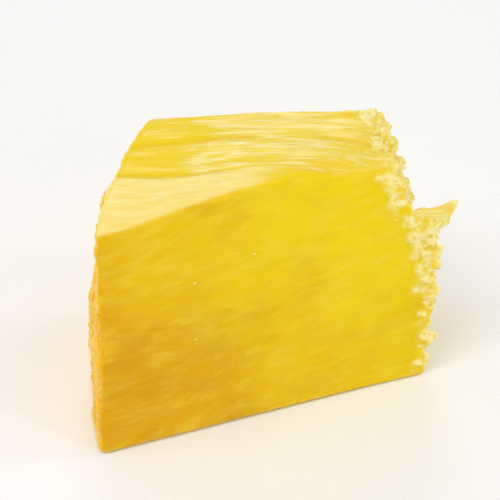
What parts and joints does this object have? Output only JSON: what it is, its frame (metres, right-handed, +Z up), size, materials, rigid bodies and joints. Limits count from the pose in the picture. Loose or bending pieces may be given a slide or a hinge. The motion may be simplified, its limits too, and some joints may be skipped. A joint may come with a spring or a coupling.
{
  "type": "pineapple chunk",
  "caption": "Fresh fruit wedge with flat cut faces, fine fibres running side by side across the top, a bulging rind side with shallow pits and a hollow, torn core side.",
  "frame": {"origin": "middle of the bounding box in plan, on the flat underside", "axes": "+X from the rind side to the core side, +Y from the shown cut face to the one behind it, +Z up from the underside to the top"},
  "size_m": [0.0476, 0.0278, 0.0319],
  "materials": {
    "flesh": "wet fibrous fruit flesh, saturated yellow with paler fibres"
  },
  "bodies": {
    "root": {"pineapple_chunk": "flesh"}
  },
  "joints": []
}
